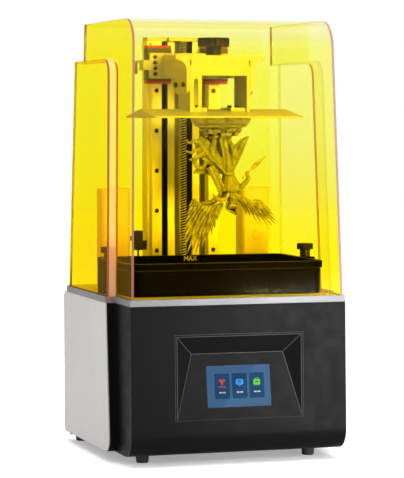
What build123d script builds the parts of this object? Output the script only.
from build123d import *
import math
import os

# Desktop resin printer, modelled in millimetres. +Z is up and +X is to the right, seen from the
# front. The origin is on the standing surface, under the middle of the printer's bounding box.
# Depths run back (+Y) from FRONT, the trim band's front face.

# ---------------------------------------------------------------- driving dimensions
WIDTH = 346.0
CORE_WIDTH = 319.2
DEPTH_BEHIND_FRONT = 312.0
HEIGHT = 626.0
WING_SETBACK = 79.6
WING_TOP = 570.5

BASE_BOTTOM = 14.5
DECK_BOTTOM = 226.0
DECK_TOP = 235.0
FRONT_LEAN = 0.0357
SIDE_LEAN = 0.089
FRONT_TOE_RADIUS = 30.0
SIDE_TOE_RADIUS = 20.0
SKIN = 3.0
PANEL = 2.0

COVER_INSET = 2.9
COVER_WALL = 3.5
COVER_SIDE_DRAFT = 0.0213
COVER_FRONT_DRAFT = 0.0532
COVER_BACK_DRAFT = 0.0257
COVER_RADIUS = 39.0
WING_RADIUS = 23.0
COVER_BACK_RADIUS = 18.0

HEAD_X = 5.0
PLATE_X = 111.0
PLATE_Y0 = 57.0
PLATE_Y1 = 205.0
PLATE_BOTTOM = 487.0
PLATE_EDGE = 2.5
PLATE_RIDGE = 500.0
PLATE_MID = (PLATE_Y0 + PLATE_Y1) / 2

VAT_X = 143.0
VAT_Y0 = 46.0
VAT_Y1 = 231.0
VAT_TOP = 282.0
VAT_WALL = 3.5
VAT_RADIUS = 14.0
RIM_DROP = 10.0
RIM_OUT = 3.0
GLASS_TOP = 236.0
FILM = 0.3

SCREEN_W = 93.5
SCREEN_H = 58.0
RECESS_X = 92.0
RECESS_Z0 = 68.0
RECESS_Z1 = 182.0
RECESS_INNER_X = 68.0
RECESS_INNER_Z = 157.0
RECESS_DEPTH = 11.0

RAIL_X = 44.5
RAIL_W = 15.0
RAIL_H = 9.0
RAIL_PITCH = 60.0
RAIL_HOLE_Z0 = 288.0
TOWER_X = 57.0
TOWER_Y0 = 261.0
TOWER_Y1 = 288.0
TOWER_TOP = 602.0
SCREW_Y = 262.0
SCREW_D = 10.0
SCREW_TOP = 606.0
RUNNING = 0.05

SCREEN_MID = 43.4
SCREEN_GLASS = 1.6
SIDE_FRAME = 7.0
VENT_SLOT = 4.0
FLOOR_VENTS = 6
FLOOR_VENT_PITCH = 12.0
FLOOR_VENT_X = 60.0
FLOOR_VENT_HALF = 18.0
FLOOR_VENT_Y0 = 120.0
REAR_VENTS = 8
REAR_VENT_PITCH = 10.0
REAR_VENT_X0 = -40.0
REAR_VENT_X1 = 20.0
REAR_VENT_Z0 = 60.0
USB_Y = 110.0
USB_Z = 196.0
TRAY_BACK = DEPTH_BEHIND_FRONT - PANEL
TRIM_WIDTH = 8.0
DECK_THICK = 4.0
LCD_X = 117.0
LCD_Y = 70.0
LAMP_X = 100.0
LAMP_Y = 52.0
LAMP_Z = 118.0
LAMP_PITCH = 18.0
LAMP_COLUMNS = 10
LAMP_ROWS = 5
FAN_X = 70.0
FAN_Z = 130.0
FAN_HALF = 40.0
FAN_BLADE = 35.0
FAN_THICK = 25.0
INLET_X = -80.0
INLET_Z = 60.0
ROCKER_DEEP = 10.0
ROCKER_PIN = 1.5
FOOT_R = 10.0
FOOT_FRONT_X = 125.0
FOOT_FRONT_Y = 58.0
FOOT_REAR_X = 150.0
FOOT_REAR_Y = 297.0
REAR_PAD_X = 164.0
REAR_PAD_Y = 300.0

LEDGE = 6.0
POST_X0 = 146.3
POST_X1 = 163.0
POST_TOP = 276.0
KNOB_X = 150.5
KNOB_Y = 140.0
KNOB_R = 12.0
KNOB_Z0 = 293.0
KNOB_Z1 = 302.0
RIB_X = 25.0
CHANNEL_X = 14.0
RAIL_HOLES = 6
MOTOR_HALF = 21.0
COUPLING_Z0 = 239.0
COUPLING_Z1 = 263.0
SENSOR_Y = 264.0
SENSOR_Z0 = 289.0
CABLE_X = -70.0
CABLE_Y = 266.0
BLOCK_Y0 = 238.0
BLOCK_Y1 = 258.0
BLOCK_Z0 = 538.0
BLOCK_Z1 = 595.0
CARRIAGE_Y0 = 230.0
CARRIAGE_X = 61.7
CARRIAGE_Z0 = 545.7
CARRIAGE_Z1 = 583.5
CARRIAGE_BOLT_X = 54.0
CARRIAGE_BOLT_Z0 = 552.4
CARRIAGE_BOLT_PITCH = 8.4
NUT_Z0 = 548.0
FLAG_X = -71.0
FLAG_Z0 = 558.0
FLAG_Z1 = 573.0
FLAG_SHEET = 1.4
YOKE_X = 45.5
YOKE_WALL = 5.0
YOKE_Y0 = 100.0
YOKE_Y1 = 157.0
YOKE_HEAD = 548.0
YOKE_TOP = 571.0
YOKE_FOOT_TOP = 502.0
YOKE_FLANGE = 18.0
FOOT_BOLT_X = 30.0
FOOT_BOLT_Y = 17.0
ARM_TOP = 577.0
ARM_HALF = 50.5
ARM_REACH = 67.0
ARM_CHEEK_Z0 = 522.0
CHEEK_BOLT_Y = 18.0
CHEEK_BOLT_Z = 535.0
GUSSET_X = 45.5
GUSSET = 6.0
CLAMP_R = 4.0
CLAMP_Z0 = 590.0
CLAMP_Z1 = 603.0
PRINT_X = 16.0
PURIFIER_X0 = 88.0
PURIFIER_X1 = 132.0
PURIFIER_Y0 = 244.0
PURIFIER_Y1 = 279.0
PURIFIER_TOP = 382.0
BUTTON_Z = 310.0
BUTTON_R = 7.0

HALF_WIDTH = WIDTH / 2
CORE_HALF = CORE_WIDTH / 2
TOE_ANGLE = math.atan(FRONT_LEAN)
TOE_TANGENT = FRONT_TOE_RADIUS / math.tan((math.pi / 2 - TOE_ANGLE) / 2)
TOE_FORWARD = FRONT_LEAN * (DECK_BOTTOM - BASE_BOTTOM) - TOE_TANGENT + FRONT_TOE_RADIUS
FRONT = TOE_FORWARD - (DEPTH_BEHIND_FRONT + TOE_FORWARD) / 2
BACK = FRONT + DEPTH_BEHIND_FRONT
WING_FRONT = FRONT + WING_SETBACK
VAT_MID = (VAT_Y0 + VAT_Y1) / 2


# ---------------------------------------------------------------- shape helpers
def block(x0, x1, y0, y1, z0, z1):
    """A box between two corners; y is a depth behind FRONT."""
    size = Box(x1 - x0, y1 - y0, z1 - z0)
    return Pos((x0 + x1) / 2, FRONT + (y0 + y1) / 2, (z0 + z1) / 2) * size


def post(x, y, z0, z1, radius):
    """A vertical cylinder; y is a depth behind FRONT."""
    return Pos(x, FRONT + y, (z0 + z1) / 2) * Cylinder(radius, z1 - z0)


def rod_y(x, z, y0, y1, radius):
    """A cylinder along Y; y is a depth behind FRONT."""
    return Pos(x, FRONT + (y0 + y1) / 2, z) * Rot(90, 0, 0) * Cylinder(radius, y1 - y0)


def rod_x(y, z, x0, x1, radius):
    """A cylinder along X; y is a depth behind FRONT."""
    return Pos((x0 + x1) / 2, FRONT + y, z) * Rot(0, 90, 0) * Cylinder(radius, x1 - x0)


def rounded_column(x0, x1, y0, y1, z0, z1, radius):
    """A box with its vertical edges rounded."""
    solid = block(x0, x1, y0, y1, z0, z1)
    return fillet(solid.edges().filter_by(Axis.Z), radius)


def side_profile(points, x0, x1):
    """A Y-Z outline, in row coordinates, extruded from x0 to x1."""
    face = make_face(Polyline(*points, close=True))
    return extrude(Plane.YZ.offset(x0) * face, amount=x1 - x0)


def front_profile(points, y0, y1):
    """An X-Z outline extruded from depth y0 to y1."""
    face = make_face(Polyline(*points, close=True))
    plane = Plane(origin=(0, FRONT + y1, 0), x_dir=(1, 0, 0), z_dir=(0, -1, 0))
    return extrude(plane * face, amount=y1 - y0)


def plan_profile(points, z0, z1):
    """An X-Y outline, in row coordinates, extruded from z0 to z1."""
    face = make_face(Polyline(*points, close=True))
    return extrude(Plane.XY.offset(z0) * face, amount=z1 - z0)


def mirror_x(shape):
    return mirror(shape, about=Plane.YZ)


def pair(shape):
    """A piece and its mirror image, as one node of two solids."""
    return Compound(children=[*shape.solids(), *mirror_x(shape).solids()])


def group(pieces):
    """Separate solids in one node."""
    return Compound(children=[solid for piece in pieces for solid in piece.solids()])


def round_corners(solid, radius, axis, pick):
    """Round the edges along an axis whose centre the pick function accepts."""
    edges = [edge for edge in solid.edges().filter_by(axis, tolerance=4) if pick(edge.center())]
    return fillet(edges, radius)


# ---------------------------------------------------------------- base housing
def front_y(z):
    """Depth of the leaning front face, in row coordinates."""
    return FRONT - FRONT_LEAN * (DECK_BOTTOM - z)


def core_solid(inset, radius, back):
    """The base core's side outline: leaning front and rounded toe, shrunk by inset."""
    points = [
        (front_y(DECK_BOTTOM) + inset, DECK_BOTTOM),
        (front_y(BASE_BOTTOM) + inset, BASE_BOTTOM + inset),
        (back, BASE_BOTTOM + inset),
        (back, DECK_BOTTOM),
    ]
    solid = side_profile(points, -CORE_HALF + inset, CORE_HALF - inset)
    return round_corners(solid, radius, Axis.X, lambda c: c.Y < FRONT + 5 and c.Z < 30)


def recess_solid(grow):
    """The pocket in the front face: level with it at the foot and deep at the top, grown by grow."""
    low, high, ridge = RECESS_Z0 - grow, RECESS_Z1 + grow, RECESS_INNER_Z + grow / 2
    wide, inner = RECESS_X + grow, RECESS_INNER_X + grow
    deep = front_y(ridge) + RECESS_DEPTH + grow
    a, b = Vector(-wide, front_y(low), low), Vector(wide, front_y(low), low)
    c, d = Vector(wide, front_y(high), high), Vector(-wide, front_y(high), high)
    e, f = Vector(-inner, deep, ridge), Vector(inner, deep, ridge)
    rings = [(a, b, c, d), (a, e, f, b), (d, c, f, e), (a, d, e), (b, f, c)]
    return Solid(Shell([Face(Wire.make_polygon(ring, close=True)) for ring in rings]))


def screen_plane():
    """The tilted panel at the back of the pocket: origin at its foot, +Y up the panel, +Z outwards."""
    rise = RECESS_INNER_Z - RECESS_Z0
    run = front_y(RECESS_INNER_Z) + RECESS_DEPTH - front_y(RECESS_Z0)
    length = math.hypot(rise, run)
    origin = (0, front_y(RECESS_Z0), RECESS_Z0)
    return Plane(origin=origin, x_dir=(1, 0, 0), z_dir=(0, -rise / length, run / length))


def on_screen(width, height, centre, out0, out1):
    """A slab parallel to the tilted panel, from out0 to out1 along its outward normal."""
    slab = Box(width, height, out1 - out0)
    return screen_plane() * Pos(0, centre, (out0 + out1) / 2) * slab


def front_panel():
    """The dark moulded front of the core, with its toe and two cheeks, open to the pocket."""
    shell = core_solid(0, FRONT_TOE_RADIUS, WING_FRONT)
    shell -= core_solid(SKIN, FRONT_TOE_RADIUS - SKIN, WING_FRONT + SKIN)
    return shell - recess_solid(SKIN) - screen_window()


def screen_window():
    """The touch screen's opening through the liner and the panel behind it."""
    return on_screen(SCREEN_W, SCREEN_H, SCREEN_MID, -3 * SKIN, SKIN)


def screen_housing():
    """The pocket's liner, with a window for the touch screen."""
    return recess_solid(SKIN) - recess_solid(0) - screen_window()


def touch_screen():
    """The touch glass, set level with the liner."""
    return on_screen(SCREEN_W, SCREEN_H, SCREEN_MID, -SCREEN_GLASS, 0)


def display_module():
    """The display's metal can behind the glass, with its connector board."""
    can = on_screen(SCREEN_W - 2, SCREEN_H - 2, SCREEN_MID, -SCREEN_GLASS - 3.4, -SCREEN_GLASS)
    board = on_screen(SCREEN_W - 8, SCREEN_H - 8, SCREEN_MID, -SCREEN_GLASS - 5, -SCREEN_GLASS - 3.4)
    plug = on_screen(22, 6, SCREEN_MID + 12, -SCREEN_GLASS - 9, -SCREEN_GLASS - 5)
    return can + board + plug


def wing_solid(inset, x0, x1):
    """A base side panel's outline: leaning front edge and rounded toe, shrunk by inset."""
    lean = SIDE_LEAN * (DECK_BOTTOM - BASE_BOTTOM)
    points = [
        (WING_FRONT + inset, DECK_BOTTOM - inset),
        (WING_FRONT - lean + inset, BASE_BOTTOM + inset),
        (BACK - PANEL - inset, BASE_BOTTOM + inset),
        (BACK - PANEL - inset, DECK_BOTTOM - inset),
    ]
    solid = side_profile(points, x0, x1)
    radius = SIDE_TOE_RADIUS - inset
    return round_corners(solid, radius, Axis.X, lambda c: c.Y < 0 and c.Z < 30 + inset)


def side_frames():
    """The dark frame that carries each silver side panel and shows as its front edge."""
    outer = wing_solid(0, CORE_HALF, HALF_WIDTH - PANEL)
    return pair(outer - wing_solid(SIDE_FRAME, CORE_HALF - 1, HALF_WIDTH))


def side_panel():
    """The plain silver side panel."""
    return wing_solid(0, HALF_WIDTH - PANEL, HALF_WIDTH)


def usb_port():
    """The USB-A socket let into the right side panel."""
    shell = block(HALF_WIDTH - 16, HALF_WIDTH, USB_Y - 7.2, USB_Y + 7.2, USB_Z - 3.6, USB_Z + 3.6)
    shell -= block(HALF_WIDTH - 15, HALF_WIDTH + 1, USB_Y - 6.4, USB_Y + 6.4, USB_Z - 2.8, USB_Z + 2.8)
    return shell + block(HALF_WIDTH - 15, HALF_WIDTH - 2, USB_Y - 5.5, USB_Y + 5.5, USB_Z, USB_Z + 1.8)


def usb_hole():
    return block(0, HALF_WIDTH + 1, USB_Y - 7.2, USB_Y + 7.2, USB_Z - 3.6, USB_Z + 3.6)


def base_tray():
    """The sheet-metal tray: floor and two side walls, which carries everything inside."""
    floor_plate = block(-CORE_HALF, CORE_HALF, WING_SETBACK, TRAY_BACK, BASE_BOTTOM, BASE_BOTTOM + PANEL)
    wall = block(CORE_HALF - PANEL, CORE_HALF, WING_SETBACK, TRAY_BACK, BASE_BOTTOM, DECK_BOTTOM)
    tray = floor_plate + wall + mirror_x(wall)
    for x in (-FLOOR_VENT_X, 0, FLOOR_VENT_X):
        for i in range(FLOOR_VENTS):
            y = FLOOR_VENT_Y0 + i * FLOOR_VENT_PITCH
            tray -= block(x - FLOOR_VENT_HALF, x + FLOOR_VENT_HALF, y, y + VENT_SLOT, 0, 30)
    return tray - usb_hole()


def rear_panel():
    """The back panel, with the fan grille, the inlet's cut-out and a row of vents."""
    panel = block(-HALF_WIDTH, HALF_WIDTH, TRAY_BACK, DEPTH_BEHIND_FRONT, BASE_BOTTOM, DECK_BOTTOM)
    panel = fillet(panel.edges().filter_by(Axis.Y), 6)
    for i in range(5):
        ring = rod_y(FAN_X, FAN_Z, TRAY_BACK - 1, DEPTH_BEHIND_FRONT + 1, 9.5 + 7 * i)
        ring -= rod_y(FAN_X, FAN_Z, TRAY_BACK - 1, DEPTH_BEHIND_FRONT + 1, 5.5 + 7 * i)
        panel -= ring - grille_spokes()
    panel -= inlet_hole(0)
    for i in range(REAR_VENTS):
        z = REAR_VENT_Z0 + i * REAR_VENT_PITCH
        panel -= block(REAR_VENT_X0, REAR_VENT_X1, TRAY_BACK - 1, DEPTH_BEHIND_FRONT + 1, z, z + VENT_SLOT)
    return panel


def grille_spokes():
    """Three bars across the fan opening that hold its rings."""
    bar = Box(100, 10, 3)
    place = Pos(FAN_X, FRONT + DEPTH_BEHIND_FRONT, FAN_Z)
    return place * (bar + Rot(0, 60, 0) * bar + Rot(0, 120, 0) * bar)


def inlet_hole(grow):
    x0, x1 = INLET_X - 24 - grow, INLET_X + 24 + grow
    return block(x0, x1, TRAY_BACK - 30, DEPTH_BEHIND_FRONT + 1, INLET_Z - 14 - grow, INLET_Z + 14 + grow)


def power_inlet():
    """The combined mains socket and switch housing, set in the back panel."""
    y1 = DEPTH_BEHIND_FRONT
    body = block(INLET_X - 24, INLET_X + 24, y1 - 26, y1, INLET_Z - 14, INLET_Z + 14)
    socket = block(INLET_X - 22, INLET_X + 4, y1 - 18, y1 + 1, INLET_Z - 9, INLET_Z + 9)
    body -= fillet(socket.edges().filter_by(Axis.Y), 4)
    body -= block(INLET_X + 8, INLET_X + 22, y1 - 15, y1 + 1, INLET_Z - 11, INLET_Z + 11)
    for dx, dz in ((-16, -2), (-9, 3.4), (-2, -2)):
        x, z = INLET_X + dx, INLET_Z + dz
        body += block(x - 1, x + 1, y1 - 19, y1 - 4, z - 2, z + 2)
    pivot = rod_x(y1 - ROCKER_DEEP, INLET_Z, INLET_X + 7, INLET_X + 23, ROCKER_PIN + RUNNING)
    return body - pivot


def power_rocker():
    """The rocker key: a shallow V across its face, turning on two stub pins."""
    y1 = DEPTH_BEHIND_FRONT
    face = [(y1 - 10, -9.2), (y1 - 0.2, -9.6), (y1 - 2.6, 0), (y1 + 0.0, 9.6), (y1 - 10, 9.2)]
    points = [(FRONT + y, INLET_Z + z) for y, z in face]
    key = side_profile(points, INLET_X + 8.2, INLET_X + 21.8)
    clear = rod_x(y1 - ROCKER_DEEP, INLET_Z, INLET_X + 8.1, INLET_X + 21.9, 9.9)
    return (key & clear) + rod_x(y1 - ROCKER_DEEP, INLET_Z, INLET_X + 7.1, INLET_X + 22.9, ROCKER_PIN)


def rubber_feet():
    """Four tapered feet, and two low pads under the rear ends of the side panels."""
    feet = []
    for x, y in ((FOOT_FRONT_X, FOOT_FRONT_Y), (FOOT_REAR_X, FOOT_REAR_Y)):
        foot = Pos(x, FRONT + y, BASE_BOTTOM / 2) * Cone(FOOT_R - 1.5, FOOT_R, BASE_BOTTOM)
        feet += [foot, mirror_x(foot)]
    pad = post(REAR_PAD_X, REAR_PAD_Y, BASE_BOTTOM - 5, BASE_BOTTOM, 4)
    return group(feet + [pad, mirror_x(pad)])


def core_outline(inset):
    """The deck's plan outline: the core in front and the wider wings behind."""
    core, wing = CORE_HALF - inset, HALF_WIDTH - inset
    front, step, back = FRONT + inset, WING_FRONT + inset, BACK - inset
    right = [(core, front), (core, step), (wing, step), (wing, back)]
    return right + [(-x, y) for x, y in reversed(right)]


def deck_trim():
    """The bright band round the deck's edge; its back corners are rounded like the cover's."""
    band = plan_profile(core_outline(0), DECK_BOTTOM, DECK_TOP)
    band = round_corners(band, COVER_BACK_RADIUS, Axis.Z, lambda c: c.Y > BACK - 1)
    return band - plan_profile(core_outline(TRIM_WIDTH), DECK_BOTTOM - 1, DECK_TOP + 1)


def deck_plate():
    """The deck that the vat and the tower stand on, with the light window and screw hole."""
    plate = plan_profile(core_outline(TRIM_WIDTH), DECK_TOP - DECK_THICK, DECK_TOP)
    plate -= block(-LCD_X, LCD_X, VAT_MID - LCD_Y, VAT_MID + LCD_Y, 0, HEIGHT)
    plate -= post(0, SCREW_Y, 0, HEIGHT, 11)
    return plate - post(CABLE_X, CABLE_Y, 0, HEIGHT, 2)


# ---------------------------------------------------------------- light engine under the deck
def lcd_panel():
    """The masking screen and its cover glass, standing a little proud of the deck."""
    return block(-LCD_X, LCD_X, VAT_MID - LCD_Y, VAT_MID + LCD_Y, DECK_TOP - DECK_THICK, GLASS_TOP)


def frustum(x_top, y_top, x_low, y_low, z_top, z_low):
    """A tapered box, centred under the vat."""
    top = Plane.XY.offset(z_top) * Pos(0, FRONT + VAT_MID) * Rectangle(2 * x_top, 2 * y_top)
    low = Plane.XY.offset(z_low) * Pos(0, FRONT + VAT_MID) * Rectangle(2 * x_low, 2 * y_low)
    return loft([low, top])


def light_box():
    """The tapered reflector between the lamp board and the masking screen."""
    top, low = DECK_TOP - DECK_THICK, LAMP_Z + 1.6
    shell = frustum(LCD_X, LCD_Y, LAMP_X, LAMP_Y, top, low)
    return shell - frustum(LCD_X - 3, LCD_Y - 3, LAMP_X - 3, LAMP_Y - 3, top, low)


def led_board():
    """The lamp board and its grid of lamps with domed lenses."""
    y0, y1 = VAT_MID - LAMP_Y, VAT_MID + LAMP_Y
    board = block(-LAMP_X, LAMP_X, y0, y1, LAMP_Z, LAMP_Z + 1.6)
    for i in range(LAMP_COLUMNS):
        for j in range(LAMP_ROWS):
            x = (i - (LAMP_COLUMNS - 1) / 2) * LAMP_PITCH
            y = VAT_MID + (j - (LAMP_ROWS - 1) / 2) * LAMP_PITCH
            board += Pos(x, FRONT + y, LAMP_Z + 2.8) * Cone(6, 4.5, 3.2)
    return board


def heat_sink():
    """The finned block under the lamp board."""
    y0, y1 = VAT_MID - LAMP_Y, VAT_MID + LAMP_Y
    sink = block(-LAMP_X, LAMP_X, y0, y1, LAMP_Z - 6, LAMP_Z)
    count = 19
    for i in range(count):
        x = -LAMP_X + 2 + i * (2 * LAMP_X - 4) / (count - 1)
        sink += block(x - 1, x + 1, y0, y1, LAMP_Z - 30, LAMP_Z - 6)
    return sink


def fan_frame():
    """The cooling fan's square frame, its hub plate and its four struts."""
    y1 = TRAY_BACK
    y0 = y1 - FAN_THICK
    frame = block(FAN_X - FAN_HALF, FAN_X + FAN_HALF, y0, y1, FAN_Z - FAN_HALF, FAN_Z + FAN_HALF)
    frame = fillet(frame.edges().filter_by(Axis.Y), 4)
    frame -= rod_y(FAN_X, FAN_Z, y0 - 1, y1 + 1, FAN_BLADE + 1.5)
    hub = rod_y(FAN_X, FAN_Z, y0, y0 + 3, 13)
    for angle in range(45, 405, 90):
        strut = Pos(FAN_BLADE / 2 + 4, 0, 0) * Box(FAN_BLADE + 5, 3, 4)
        hub += Pos(FAN_X, FRONT + y0 + 1.5, FAN_Z) * Rot(0, angle, 0) * strut
    frame += hub
    return frame - rod_y(FAN_X, FAN_Z, y0 - 1, y1, 2 + RUNNING)


def fan_rotor():
    """The fan's hub, shaft and seven raked blades."""
    y0 = TRAY_BACK - FAN_THICK
    rotor = rod_y(FAN_X, FAN_Z, y0 + 4, y0 + 21, 12)
    rotor += rod_y(FAN_X, FAN_Z, y0 + 0.5, y0 + 6, 2)
    for i in range(7):
        blade = Pos(FAN_BLADE / 2 + 5, 0, 0) * Rot(38, 0, 0) * Box(FAN_BLADE - 10, 20, 1.6)
        rotor += Pos(FAN_X, FRONT + y0 + 13, FAN_Z) * Rot(0, i * 360 / 7, 0) * blade
    trim = rod_y(FAN_X, FAN_Z, y0 + 0.5, y0 + 21, FAN_BLADE)
    return rotor & trim


def power_supply():
    """The closed power supply on the tray's floor, slotted along its top."""
    z0 = BASE_BOTTOM + PANEL
    cage = block(40, 140, 110, 250, z0, z0 + 38)
    for i in range(9):
        y = 122 + i * 13
        cage -= block(52, 128, y, y + 5, z0 + 36, z0 + 40)
    return cage


def main_board():
    """The control board on four pillars, with its chips, sockets and heat sinks."""
    z0 = BASE_BOTTOM + PANEL
    board = block(-140, -30, 120, 250, z0 + 8, z0 + 9.6)
    for x in (-134, -36):
        for y in (126, 244):
            board += post(x, y, z0, z0 + 8, 3)
    chips = ((-100, 150, 22, 22, 6), (-60, 150, 14, 14, 3), (-60, 185, 10, 18, 4), (-112, 200, 30, 12, 12))
    for x, y, w, d, h in chips:
        board += block(x - w / 2, x + w / 2, y - d / 2, y + d / 2, z0 + 9.6, z0 + 9.6 + h)
    for i in range(6):
        x = -132 + i * 17
        board += block(x, x + 11, 236, 244, z0 + 9.6, z0 + 19)
    return board


# ---------------------------------------------------------------- resin vat
def vat_block(grow, z0, z1):
    """The vat's rounded plan outline, grown sideways, between two heights."""
    corners = (-VAT_X - grow, VAT_X + grow, VAT_Y0 - grow, VAT_Y1 + grow)
    return rounded_column(*corners, z0, z1, VAT_RADIUS + grow)


def vat_body():
    """The vat: four rounded walls, a rolled rim and a thin inner ledge that carries the film."""
    body = vat_block(0, DECK_TOP, VAT_TOP) + vat_block(RIM_OUT, VAT_TOP - RIM_DROP, VAT_TOP)
    body -= vat_block(-VAT_WALL, GLASS_TOP, VAT_TOP + 1)
    return body - vat_block(-VAT_WALL - LEDGE, DECK_TOP - 1, GLASS_TOP + 1)


def vat_film():
    """The clear release film stretched across the vat's floor."""
    return vat_block(-VAT_WALL, GLASS_TOP, GLASS_TOP + FILM)


def film_frame():
    """The ring that clamps the film down, with its countersunk screws."""
    z0 = GLASS_TOP + FILM
    ring = vat_block(-VAT_WALL, z0, z0 + 3) - vat_block(-VAT_WALL - LEDGE, z0 - 1, z0 + 4)
    x, y0, y1 = VAT_X - VAT_WALL - LEDGE / 2, VAT_Y0 + VAT_WALL + LEDGE / 2, VAT_Y1 - VAT_WALL - LEDGE / 2
    for dx in (-100, -50, 0, 50, 100):
        for y in (y0, y1):
            ring += post(dx, y, z0 + 3, z0 + 3.8, 2)
    for dy in (-45, 0, 45):
        for side in (-x, x):
            ring += post(side, VAT_MID + dy, z0 + 3, z0 + 3.8, 2)
    return ring


def vat_posts():
    """The posts beside the vat that take its two clamping screws."""
    column = block(POST_X0, POST_X1, KNOB_Y - 16, KNOB_Y + 16, DECK_TOP, POST_TOP)
    column += block(POST_X0, POST_X1, KNOB_Y - 9, KNOB_Y + 9, POST_TOP, VAT_TOP)
    column -= post(KNOB_X, KNOB_Y, POST_TOP - 30, HEIGHT, 3 + RUNNING)
    return pair(column)


def fluted(x, y, z0, z1, radius, flutes, flute_radius):
    """A round knob head with grip flutes cut round its edge."""
    head = post(x, y, z0, z1, radius)
    head = chamfer(head.edges().filter_by(GeomType.CIRCLE), 1)
    for i in range(flutes):
        turn = 2 * math.pi * i / flutes
        reach = radius + flute_radius * 0.45
        head -= post(x + reach * math.cos(turn), y + reach * math.sin(turn), z0 - 1, z1 + 1, flute_radius)
    return head


def thumb_knob(side):
    """One clamping screw: fluted head, collar that bears on the rim, and threaded shank."""
    x = side * KNOB_X
    head = fluted(x, KNOB_Y, KNOB_Z0, KNOB_Z1, KNOB_R, 16, 1.6)
    collar = post(x, KNOB_Y, VAT_TOP + 0.3, KNOB_Z0, 7.5)
    return head + collar + post(x, KNOB_Y, POST_TOP - 26, VAT_TOP + 0.3, 3)


# ---------------------------------------------------------------- tower and drive
def tower_extrusion():
    """The aluminium column: a rear web, two rail ribs and two inner ribs, with slots between."""
    column = block(-TOWER_X, TOWER_X, TOWER_Y0, TOWER_Y1, DECK_TOP, TOWER_TOP)
    for x0, x1 in ((-CHANNEL_X, CHANNEL_X), (RIB_X, RAIL_X - 10), (-RAIL_X + 10, -RIB_X)):
        column -= block(x0, x1, TOWER_Y0 - 1, TOWER_Y1 - 10, DECK_TOP - 1, TOWER_TOP + 1)
    for side in (-1, 1):
        groove = rod_y(side * RAIL_X, 0, TOWER_Y1 - 6, TOWER_Y1 + 1, 3)
        column -= Pos(0, 0, TOWER_TOP - 40) * groove + Pos(0, 0, DECK_TOP + 40) * groove
    return column


def tower_cap():
    """The plate across the column's top, which holds the screw's upper bearing."""
    cap = rounded_column(-TOWER_X, TOWER_X, SCREW_Y - 9, TOWER_Y1, TOWER_TOP, TOWER_TOP + 6, 4)
    cap -= block(RIB_X, TOWER_X + 1, TOWER_Y0 - 12, TOWER_Y0 + 0, TOWER_TOP - 1, TOWER_TOP + 8)
    cap -= block(-TOWER_X - 1, -RIB_X, TOWER_Y0 - 12, TOWER_Y0 + 0, TOWER_TOP - 1, TOWER_TOP + 8)
    cap -= post(0, SCREW_Y, TOWER_TOP - 1, TOWER_TOP + 8, SCREW_D / 2 - 1 + RUNNING)
    return cap


def rail_centres():
    """Heights of the rails' fixing screws."""
    return [RAIL_HOLE_Z0 + i * RAIL_PITCH for i in range(RAIL_HOLES)]


def rail_hole(z, grow):
    """A rail screw's counterbored shape: a cap head over a shank."""
    head = rod_y(RAIL_X, z, TOWER_Y0 - RAIL_H - 1, TOWER_Y0 - RAIL_H + 4.5, 3.6 + grow)
    return head + rod_y(RAIL_X, z, TOWER_Y0 - RAIL_H + 4, TOWER_Y0 + 1, 2 + grow)


def linear_rails():
    """Two guide rails with side grooves and counterbored holes."""
    z0, z1 = DECK_TOP, TOWER_TOP - 2
    x0, x1 = RAIL_X - RAIL_W / 2, RAIL_X + RAIL_W / 2
    rail = block(x0, x1, TOWER_Y0 - RAIL_H, TOWER_Y0, z0, z1)
    for x in (x0, x1):
        rail -= rod_track(x, TOWER_Y0 - RAIL_H + 4.5, z0, z1, 1.4)
    for z in rail_centres():
        rail -= rail_hole(z, 0)
    return pair(rail)


def rod_track(x, y, z0, z1, radius):
    """A ball groove down the side of a rail."""
    return post(x, y, z0 - 1, z1 + 1, radius)


def rail_screws():
    """The socket screws that hold the rails, sunk in their counterbores."""
    y0 = TOWER_Y0 - RAIL_H
    screws = []
    for z in rail_centres():
        screw = rod_y(RAIL_X, z, y0 + 1.4, y0 + 4.5, 3.4) + rod_y(RAIL_X, z, y0 + 4.5, TOWER_Y0, 2)
        screw -= rod_y(RAIL_X, z, y0, y0 + 3, 1.5)
        screws += [screw, mirror_x(screw)]
    return group(screws)


def z_motor():
    """The stepper motor hung under the deck, with a clear bore for its shaft."""
    z1 = DECK_TOP - DECK_THICK
    half = MOTOR_HALF
    motor = block(-half, half, SCREW_Y - half, SCREW_Y + half, z1 - 44, z1 - 2)
    motor = fillet(motor.edges().filter_by(Axis.Z), 4)
    motor += post(0, SCREW_Y, z1 - 2, z1, 11 + 4)
    for x in (-15.5, 15.5):
        for y in (-15.5, 15.5):
            motor += post(x, SCREW_Y + y, z1 - 2, z1, 2.5)
    motor += block(-8, 8, SCREW_Y - half - 6, SCREW_Y - half, z1 - 42, z1 - 34)
    return motor - post(0, SCREW_Y, z1 - 46, z1 + 1, 2.5 + RUNNING)


def lead_screw():
    """The screw's core with its turned-down upper journal."""
    core = post(0, SCREW_Y, COUPLING_Z1 - 12, TOWER_TOP - 1, SCREW_D / 2)
    return core + post(0, SCREW_Y, TOWER_TOP - 1, SCREW_TOP, SCREW_D / 2 - 1)


def shaft_coupling():
    """The clamping coupling and the motor's output shaft below it."""
    sleeve = post(0, SCREW_Y, COUPLING_Z0, COUPLING_Z1, 9.5)
    sleeve = chamfer(sleeve.edges().filter_by(GeomType.CIRCLE), 0.8)
    sleeve -= post(0, SCREW_Y, COUPLING_Z1 - 12, COUPLING_Z1 + 1, SCREW_D / 2)
    for i in range(4):
        z = COUPLING_Z0 + 7 + i * 2
        cut = block(-12, 12, SCREW_Y - 12 + i % 2 * 8, SCREW_Y + 4 + i % 2 * 8, z, z + 0.8)
        sleeve -= cut
    return sleeve + post(0, SCREW_Y, DECK_TOP - DECK_THICK - 40, COUPLING_Z0 + 1, 2.5)


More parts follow.
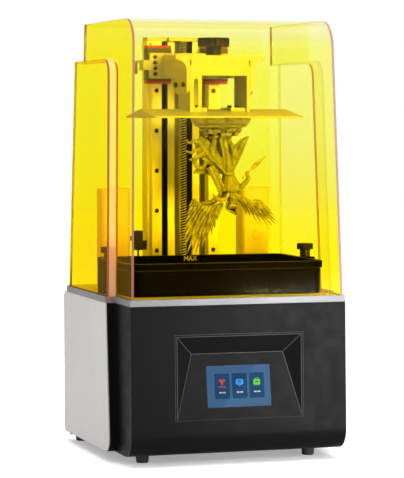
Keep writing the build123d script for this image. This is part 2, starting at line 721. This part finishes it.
def limit_sensor():
    """The slotted sensor on the column's left side that the trip flag enters."""
    x0, x1 = -TOWER_X - 20, -TOWER_X - 8
    body = block(x0, x1, SENSOR_Y - 7, SENSOR_Y + 7, SENSOR_Z0, SENSOR_Z0 + 29)
    body += block(x0 - 5, x0, SENSOR_Y - 4, SENSOR_Y + 4, SENSOR_Z0 + 14, SENSOR_Z0 + 21)
    body += block(x1, -TOWER_X, SENSOR_Y + 2, SENSOR_Y + 7, SENSOR_Z0, SENSOR_Z0 + 14)
    slot = block(x0 - 6, x1 + 1, SENSOR_Y - 2, SENSOR_Y + 2, SENSOR_Z0 + 9, SENSOR_Z0 + 40)
    return body - slot


def sensor_cable():
    """The sensor's lead, straight down from its housing through the deck."""
    return post(CABLE_X, CABLE_Y, DECK_TOP - 20, SENSOR_Z0, 1.5)


# ---------------------------------------------------------------- carriage
def bearing_blocks():
    """The two bearing carriages that run on the rails, each with a clear channel."""
    body = block(RAIL_X - 19, RAIL_X + 19, BLOCK_Y0, BLOCK_Y1, BLOCK_Z0 + 4, BLOCK_Z1 - 4)
    body = chamfer(body.edges().filter_by(Axis.Z), 1.2)
    return pair(body - rail_channel())


def rail_channel():
    """The rail's path through a bearing block, with running clearance all round."""
    half = RAIL_W / 2 + 0.3
    return block(RAIL_X - half, RAIL_X + half, TOWER_Y0 - RAIL_H - 0.3, TOWER_Y0 + 1, 0, HEIGHT)


def block_seals():
    """The coloured end seals and their dark caps, above and below each block."""
    seals = []
    for z in (BLOCK_Z0, BLOCK_Z1 - 4):
        seal = block(RAIL_X - 18, RAIL_X + 18, BLOCK_Y0 + 1, BLOCK_Y1 - 1, z, z + 4)
        seal -= rail_channel()
        seals += [seal, mirror_x(seal)]
    return group(seals)


def carriage_plate():
    """The plate that joins the two blocks and carries the arm and the nut."""
    plate = block(-CARRIAGE_X, CARRIAGE_X, CARRIAGE_Y0, BLOCK_Y0, CARRIAGE_Z0, CARRIAGE_Z1)
    return fillet(plate.edges().filter_by(Axis.Y), 3)


def lead_nut():
    """The flanged nut block behind the plate, bored for the screw."""
    nut = block(-11, 11, BLOCK_Y0, SCREW_Y + 8, NUT_Z0, NUT_Z0 + 18)
    nut += post(0, SCREW_Y, NUT_Z0, NUT_Z0 + 26, 8)
    return nut - post(0, SCREW_Y, NUT_Z0 - 1, NUT_Z0 + 30, SCREW_D / 2 + RUNNING)


def socket_screw_y(x, z, y, radius):
    """A cap screw whose head stands forward of the face at depth y."""
    head = rod_y(x, z, y - radius * 1.1, y, radius)
    return head - rod_y(x, z, y - radius * 1.1 - 1, y - 1, radius * 0.5)


def socket_screw_z(x, y, z, radius):
    """A cap screw whose head stands on the face at height z."""
    head = post(x, y, z, z + radius * 1.1, radius)
    return head - post(x, y, z + 1, z + radius * 1.1 + 1, radius * 0.5)


def socket_screw_x(y, z, side, reach, radius):
    """A cap screw whose head stands out sideways from the arm's cheek."""
    x = HEAD_X + side * (reach + radius * 0.5)
    head = rod_x(y, z, x - radius * 0.5, x + radius * 0.5, radius)
    return head - rod_x(y, z, x + side * radius * 0.5 - 1, x + side * radius * 0.5 + 1, radius * 0.5)


def carriage_screws():
    """The screws of the blocks, the nut, the arm's cheeks and the yoke's feet."""
    heads = []
    for i in range(4):
        z = CARRIAGE_BOLT_Z0 + i * CARRIAGE_BOLT_PITCH
        heads += [socket_screw_y(side * CARRIAGE_BOLT_X, z, CARRIAGE_Y0, 2.8) for side in (-1, 1)]
    heads += [socket_screw_y(side * 8, NUT_Z0 + 9, CARRIAGE_Y0, 3.2) for side in (-1, 1)]
    for x in (-FOOT_BOLT_X, FOOT_BOLT_X):
        for dy in (-FOOT_BOLT_Y, FOOT_BOLT_Y):
            heads.append(socket_screw_z(HEAD_X + x, PLATE_MID + dy, YOKE_FOOT_TOP, 3.2))
    for side in (-1, 1):
        for dy in (-CHEEK_BOLT_Y, CHEEK_BOLT_Y):
            heads.append(socket_screw_x(PLATE_MID + dy, CHEEK_BOLT_Z, side, ARM_HALF, 3.4))
    return group(heads)


def trip_flag():
    """The bent strip whose blade enters the limit sensor at the foot of the travel."""
    y1 = CARRIAGE_Y0
    back = y1 + 20
    blade_x = FLAG_X - 6
    flag = block(FLAG_X, -CARRIAGE_X + 3, y1 - FLAG_SHEET, y1, FLAG_Z0, FLAG_Z1)
    flag += block(FLAG_X - FLAG_SHEET, FLAG_X, y1 - FLAG_SHEET, back, FLAG_Z0, FLAG_Z1)
    flag += block(FLAG_X - FLAG_SHEET, FLAG_X, back, SENSOR_Y + FLAG_SHEET / 2, FLAG_Z1 - 3, FLAG_Z1)
    blade_y = SENSOR_Y - FLAG_SHEET / 2
    return flag + block(blade_x, FLAG_X, blade_y, SENSOR_Y + FLAG_SHEET / 2, FLAG_Z0 - 5, FLAG_Z1)


def flared_outline(half, reach, z0, z1, drop):
    """A front view that widens upwards through a concave quarter round to a flat top bar."""
    radius = reach - half
    z_arc = z1 - drop
    left = [Line((-half, z0), (-half, z_arc - radius))]
    left.append(RadiusArc((-half, z_arc - radius), (-reach, z_arc), -radius))
    left.append(Line((-reach, z_arc), (-reach, z1)))
    right = [Line((reach, z1), (reach, z_arc)), RadiusArc((reach, z_arc), (half, z_arc - radius), -radius)]
    right.append(Line((half, z_arc - radius), (half, z0)))
    closing = [Line((-reach, z1), (reach, z1)), Line((half, z0), (-half, z0))]
    return make_face(Wire(left + closing[:1] + right + closing[1:]))


def support_arm():
    """The cantilever: a flared channel over the yoke, tied back to the carriage by two gussets."""
    plane = Plane(origin=(HEAD_X, FRONT + YOKE_Y1, 0), x_dir=(1, 0, 0), z_dir=(0, -1, 0))
    face = flared_outline(ARM_HALF, ARM_REACH, ARM_CHEEK_Z0, ARM_TOP, ARM_TOP - YOKE_TOP)
    arm = extrude(plane * face, amount=YOKE_Y1 - YOKE_Y0)
    inner = YOKE_X + 0.3
    arm -= block(HEAD_X - inner, HEAD_X + inner, 0, YOKE_Y1 + 1, 0, YOKE_TOP)
    arm = round_corners(arm, 5, Axis.X, lambda c: c.Z < ARM_CHEEK_Z0 + 1)
    arm += block(HEAD_X - GUSSET_X, HEAD_X + GUSSET_X, YOKE_Y1, CARRIAGE_Y0, YOKE_TOP, ARM_TOP)
    web = [
        (FRONT + YOKE_Y1 + 0.3, ARM_TOP),
        (FRONT + CARRIAGE_Y0, CARRIAGE_Z1 - 1.5),
        (FRONT + CARRIAGE_Y0, CARRIAGE_Z0),
        (FRONT + YOKE_Y1 + 8, CARRIAGE_Z0),
        (FRONT + YOKE_Y1 + 0.3, CARRIAGE_Z0 + 8),
    ]
    for x in (HEAD_X - GUSSET_X, HEAD_X + GUSSET_X - GUSSET):
        arm += side_profile(web, x, x + GUSSET)
    return arm - post(HEAD_X, PLATE_MID, 0, HEIGHT, CLAMP_R + RUNNING)


def plate_yoke():
    """The bracket bolted to the plate: a head block on two legs, with a slotted flange on the left."""
    x0, x1 = HEAD_X - YOKE_X, HEAD_X + YOKE_X
    z0 = PLATE_BOTTOM + PLATE_EDGE
    yoke = block(x0, x1, YOKE_Y0, YOKE_Y1, z0, YOKE_TOP)
    yoke -= block(x0 + YOKE_WALL, x1 - YOKE_WALL, YOKE_Y0 - 1, YOKE_Y1 + 1, z0 - 1, YOKE_HEAD)
    flange = block(x0, x0 + YOKE_FLANGE, YOKE_Y0, YOKE_Y0 + 3, z0, YOKE_HEAD + 1)
    slot_x = x0 + YOKE_FLANGE / 2
    slot = block(slot_x - 3, slot_x + 3, YOKE_Y0 - 1, YOKE_Y0 + 4, YOKE_FOOT_TOP, YOKE_HEAD - 5)
    yoke += flange - fillet(slot.edges().filter_by(Axis.Y), 2.9)
    for x in (HEAD_X - FOOT_BOLT_X, HEAD_X + FOOT_BOLT_X):
        yoke += block(x - 12, x + 12, YOKE_Y0 + 5, YOKE_Y1 - 5, PLATE_RIDGE - 4, YOKE_FOOT_TOP)
    for side in (-1, 1):
        notch = HEAD_X + side * YOKE_X
        yoke -= block(notch - 2, notch + 2, YOKE_Y0 - 1, YOKE_Y0 + 4, YOKE_TOP - 8, YOKE_TOP - 1)
    yoke -= block(x0 + 20, x1 - 20, YOKE_Y0 + 6, YOKE_Y1 - 6, YOKE_HEAD - 1, YOKE_TOP - 8)
    yoke -= post(HEAD_X, PLATE_MID, YOKE_TOP - 10, HEIGHT, CLAMP_R + RUNNING)
    return yoke - plate_solid()


def plate_solid():
    """The build plate as a low gable, thin at its front and back edges."""
    y0, y1 = FRONT + PLATE_Y0, FRONT + PLATE_Y1
    low = PLATE_BOTTOM + PLATE_EDGE
    points = [(y0, PLATE_BOTTOM), (y1, PLATE_BOTTOM), (y1, low), (FRONT + PLATE_MID, PLATE_RIDGE), (y0, low)]
    return side_profile(points, HEAD_X - PLATE_X, HEAD_X + PLATE_X)


def build_plate():
    """The build plate, its lower edges barely rounded."""
    return fillet(plate_solid().edges().filter_by(Axis.Z), 1.5)


def clamp_knob():
    """The clamp screw over the arm: fluted head, neck and shank."""
    head = fluted(HEAD_X, PLATE_MID, CLAMP_Z0, CLAMP_Z1, 23, 10, 4.5)
    neck = post(HEAD_X, PLATE_MID, ARM_TOP + 0.2, CLAMP_Z0, 11.5)
    return head + neck + post(HEAD_X, PLATE_MID, YOKE_TOP - 7, ARM_TOP + 0.2, CLAMP_R)


def printed_model():
    """The resin figure hanging from the plate: plinth, robed body, two wings and a staff."""
    top = PLATE_BOTTOM
    x = PRINT_X
    foot = Plane.XY.offset(top - 16) * Pos(x, FRONT + PLATE_MID) * Ellipse(36, 26)
    wide = Plane.XY.offset(top) * Pos(x, FRONT + PLATE_MID) * Ellipse(45, 32)
    figure = loft([foot, wide])
    levels = ((16, 30, 22), (60, 34, 20), (90, 20, 14), (115, 18, 14), (150, 12, 12))
    rings = []
    for drop, rx, ry in levels:
        rings.append(Plane.XY.offset(top - drop) * Pos(x, FRONT + PLATE_MID) * Ellipse(rx, ry))
    figure += loft(rings[::-1])
    y0, y1 = PLATE_MID - 5, PLATE_MID + 5
    left = [(x, top - 104), (x - 40, top - 125), (x - 54, top - 176), (x - 42, top - 200), (x, top - 140)]
    right = [(x, top - 104), (x + 56, top - 120), (x + 88, top - 152), (x + 48, top - 156), (x, top - 140)]
    staff = [(x + 8, top - 84), (x + 66, top - 53), (x + 68, top - 58), (x + 12, top - 92)]
    for outline in (left, right, staff):
        figure += front_profile(outline, y0, y1)
    return figure


# ---------------------------------------------------------------- air purifiers
def purifier():
    """The right-hand purifier: a slim case with grille slots, a light slit and a button well."""
    x0, x1 = PURIFIER_X0, PURIFIER_X1
    case = rounded_column(x0, x1, PURIFIER_Y0, PURIFIER_Y1, DECK_TOP, PURIFIER_TOP, 6)
    mid = (x0 + x1) / 2
    case -= block(mid - 1, mid + 1, PURIFIER_Y0 - 1, PURIFIER_Y0 + 1, BUTTON_Z + 16, BUTTON_Z + 23)
    case -= rod_y(mid, BUTTON_Z, PURIFIER_Y0 - 1, PURIFIER_Y0 + 4, BUTTON_R + 2 * RUNNING)
    for i in range(7):
        z = PURIFIER_TOP - 20 - i * 7
        case -= block(x0 + 8, x1 - 8, PURIFIER_Y1 - 3, PURIFIER_Y1 + 1, z, z + 3)
    return case


def purifier_button():
    """The right-hand purifier's round push button."""
    mid = (PURIFIER_X0 + PURIFIER_X1) / 2
    button = rod_y(mid, BUTTON_Z, PURIFIER_Y0 - 0.5, PURIFIER_Y0 + 2, BUTTON_R)
    return chamfer(button.edges().filter_by(GeomType.CIRCLE).sort_by(Axis.Y)[:1], 0.4)


# ---------------------------------------------------------------- cover
def cover_side(front, top, radius, inset):
    """A cover part's side outline at full width: leaning front, rounded brow and leaning back."""
    rise = top - DECK_TOP
    y0, y1 = FRONT + front + COVER_INSET + inset, BACK - COVER_INSET - inset
    low = DECK_TOP - (1 if inset else 0)
    points = [
        (y0, low),
        (y0 + COVER_FRONT_DRAFT * rise, top - inset),
        (y1 - COVER_BACK_DRAFT * rise, top - inset),
        (y1, low),
    ]
    solid = side_profile(points, -HALF_WIDTH, HALF_WIDTH)
    return round_corners(solid, radius - inset, Axis.X, lambda c: c.Y < 0 and c.Z > top - 50)


def cover_wedge(half, inset):
    """The taper between the cover's two side planes; half is its half width at the deck."""
    rise = HEIGHT - DECK_TOP
    low = half - COVER_INSET - inset
    high = low - COVER_SIDE_DRAFT * rise
    drop = COVER_SIDE_DRAFT
    points = [(-low - drop, DECK_TOP - 1), (low + drop, DECK_TOP - 1), (high, HEIGHT), (-high, HEIGHT)]
    return front_profile(points, -10, DEPTH_BEHIND_FRONT + 10)


def cover_core(inset):
    """The cover's tall core block, shrunk by inset."""
    solid = cover_side(0, HEIGHT, COVER_RADIUS, inset) & cover_wedge(CORE_HALF, inset)
    return round_corners(solid, COVER_BACK_RADIUS - inset, Axis.Z, lambda c: c.Y > BACK - 40)


def cover_wings(inset):
    """The cover's lower, wider block, shrunk by inset."""
    solid = cover_side(WING_SETBACK, WING_TOP, WING_RADIUS, inset) & cover_wedge(HALF_WIDTH, inset)
    return round_corners(solid, COVER_BACK_RADIUS - inset, Axis.Z, lambda c: c.Y > BACK - 40)


def cover_shell():
    """The whole hollow cover, open below."""
    outer = cover_core(0) + cover_wings(0)
    return outer - (cover_core(COVER_WALL) + cover_wings(COVER_WALL))


def cover_pieces():
    """The cover's acrylic sheets, cut from the shell along their glued edges."""
    shell = cover_shell()
    core = cover_wedge(CORE_HALF, 0)
    between = cover_wedge(CORE_HALF, COVER_WALL)
    wing_inner = cover_wedge(HALF_WIDTH, COVER_WALL)
    back = side_profile([
        (BACK - COVER_INSET - COVER_BACK_RADIUS, DECK_TOP - 2),
        (BACK + 5, DECK_TOP - 2),
        (BACK + 5, HEIGHT + 5),
        (BACK - COVER_INSET - COVER_BACK_RADIUS - COVER_BACK_DRAFT * (HEIGHT - DECK_TOP), HEIGHT + 5),
    ], -HALF_WIDTH - 5, HALF_WIDTH + 5)
    rear = shell & back
    rest = shell - back
    inner = rest & between
    cheeks = (rest & core) - between
    wings = rest - core
    return {
        "cover_front_sheet": inner,
        "cover_back_sheet": rear,
        "cover_cheeks": cheeks,
        "cover_wing_bands": wings & wing_inner,
        "cover_wing_sheets": wings - wing_inner,
    }


# ---------------------------------------------------------------- all nodes
def nodes():
    """Every sub-part by its node name."""
    right_panel = side_panel() - usb_hole()
    shapes = {
        "front_panel": front_panel(),
        "screen_housing": screen_housing(),
        "touch_screen": touch_screen(),
        "display_module": display_module(),
        "side_frames": side_frames() - usb_hole(),
        "side_panel_right": right_panel,
        "side_panel_left": mirror_x(side_panel()),
        "usb_port": usb_port(),
        "base_tray": base_tray(),
        "rear_panel": rear_panel(),
        "power_inlet": power_inlet(),
        "power_rocker": power_rocker(),
        "rubber_feet": rubber_feet(),
        "deck_trim": deck_trim(),
        "deck_plate": deck_plate(),
        "lcd_panel": lcd_panel(),
        "light_box": light_box(),
        "led_board": led_board(),
        "heat_sink": heat_sink(),
        "fan_frame": fan_frame(),
        "fan_rotor": fan_rotor(),
        "power_supply": power_supply(),
        "main_board": main_board(),
        "vat_body": vat_body(),
        "vat_film": vat_film(),
        "film_frame": film_frame(),
        "vat_posts": vat_posts(),
        "thumb_knob_left": thumb_knob(-1),
        "thumb_knob_right": thumb_knob(1),
        "tower_extrusion": tower_extrusion(),
        "tower_cap": tower_cap(),
        "linear_rails": linear_rails(),
        "rail_screws": rail_screws(),
        "z_motor": z_motor(),
        "lead_screw": lead_screw(),
        "shaft_coupling": shaft_coupling(),
        "limit_sensor": limit_sensor(),
        "sensor_cable": sensor_cable(),
        "bearing_blocks": bearing_blocks(),
        "block_seals": block_seals(),
        "carriage_plate": carriage_plate(),
        "lead_nut": lead_nut(),
        "carriage_screws": carriage_screws(),
        "trip_flag": trip_flag(),
        "support_arm": support_arm(),
        "plate_yoke": plate_yoke(),
        "build_plate": build_plate(),
        "clamp_knob": clamp_knob(),
        "printed_model": printed_model(),
        "purifier_right": purifier(),
        "purifier_left": mirror_x(purifier()),
        "purifier_button_right": purifier_button(),
        "purifier_button_left": mirror_x(purifier_button()),
    }
    return shapes | cover_pieces()


def main():
    os.makedirs("parts", exist_ok=True)
    for name, shape in nodes().items():
        export_step(shape, f"parts/{name}.step")


if __name__ == "__main__":
    main()
